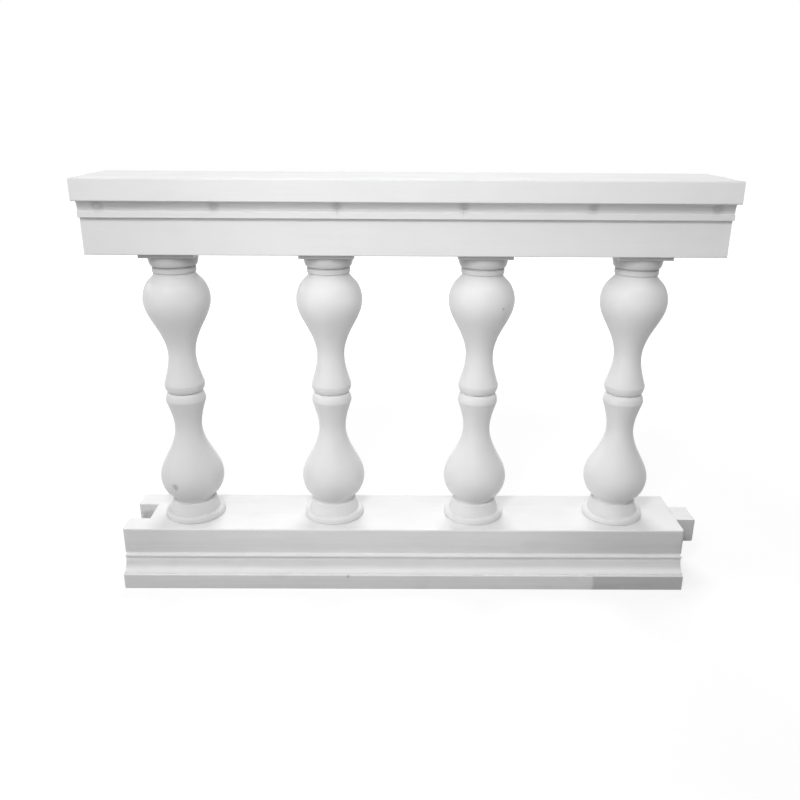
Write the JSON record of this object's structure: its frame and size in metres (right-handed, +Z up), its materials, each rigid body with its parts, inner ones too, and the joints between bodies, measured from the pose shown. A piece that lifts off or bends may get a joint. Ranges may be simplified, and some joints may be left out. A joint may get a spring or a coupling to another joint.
{
  "type": "balustrade railing bay",
  "caption": "White balustrade bay: moulded top rail on turned double-vase balusters, with a stepped bottom rail that has a joining tongue and socket.",
  "frame": {"origin": "centre of the flat underside of the bottom rail, without its tongue", "axes": "+X along the bay towards the tongue, +Y to the back, +Z up"},
  "size_m": [1.22, 0.23, 0.824],
  "materials": {
    "rails": "satin white moulded",
    "balusters": "satin white moulded"
  },
  "bodies": {
    "root": {"bottom_rail_plinth": "rails", "bottom_rail_moulding": "rails", "bottom_rail_die": "rails", "top_rail_frieze": "rails", "top_rail_bed_moulding": "rails", "top_rail_coping": "rails", "baluster_1_foot": "balusters", "baluster_1_lower_vase": "balusters", "baluster_1_upper_vase": "balusters", "baluster_1_cap": "balusters", "baluster_2_foot": "balusters", "baluster_2_lower_vase": "balusters", "baluster_2_upper_vase": "balusters", "baluster_2_cap": "balusters", "baluster_3_foot": "balusters", "baluster_3_lower_vase": "balusters", "baluster_3_upper_vase": "balusters", "baluster_3_cap": "balusters", "baluster_4_foot": "balusters", "baluster_4_lower_vase": "balusters", "baluster_4_upper_vase": "balusters", "baluster_4_cap": "balusters"}
  },
  "joints": []
}
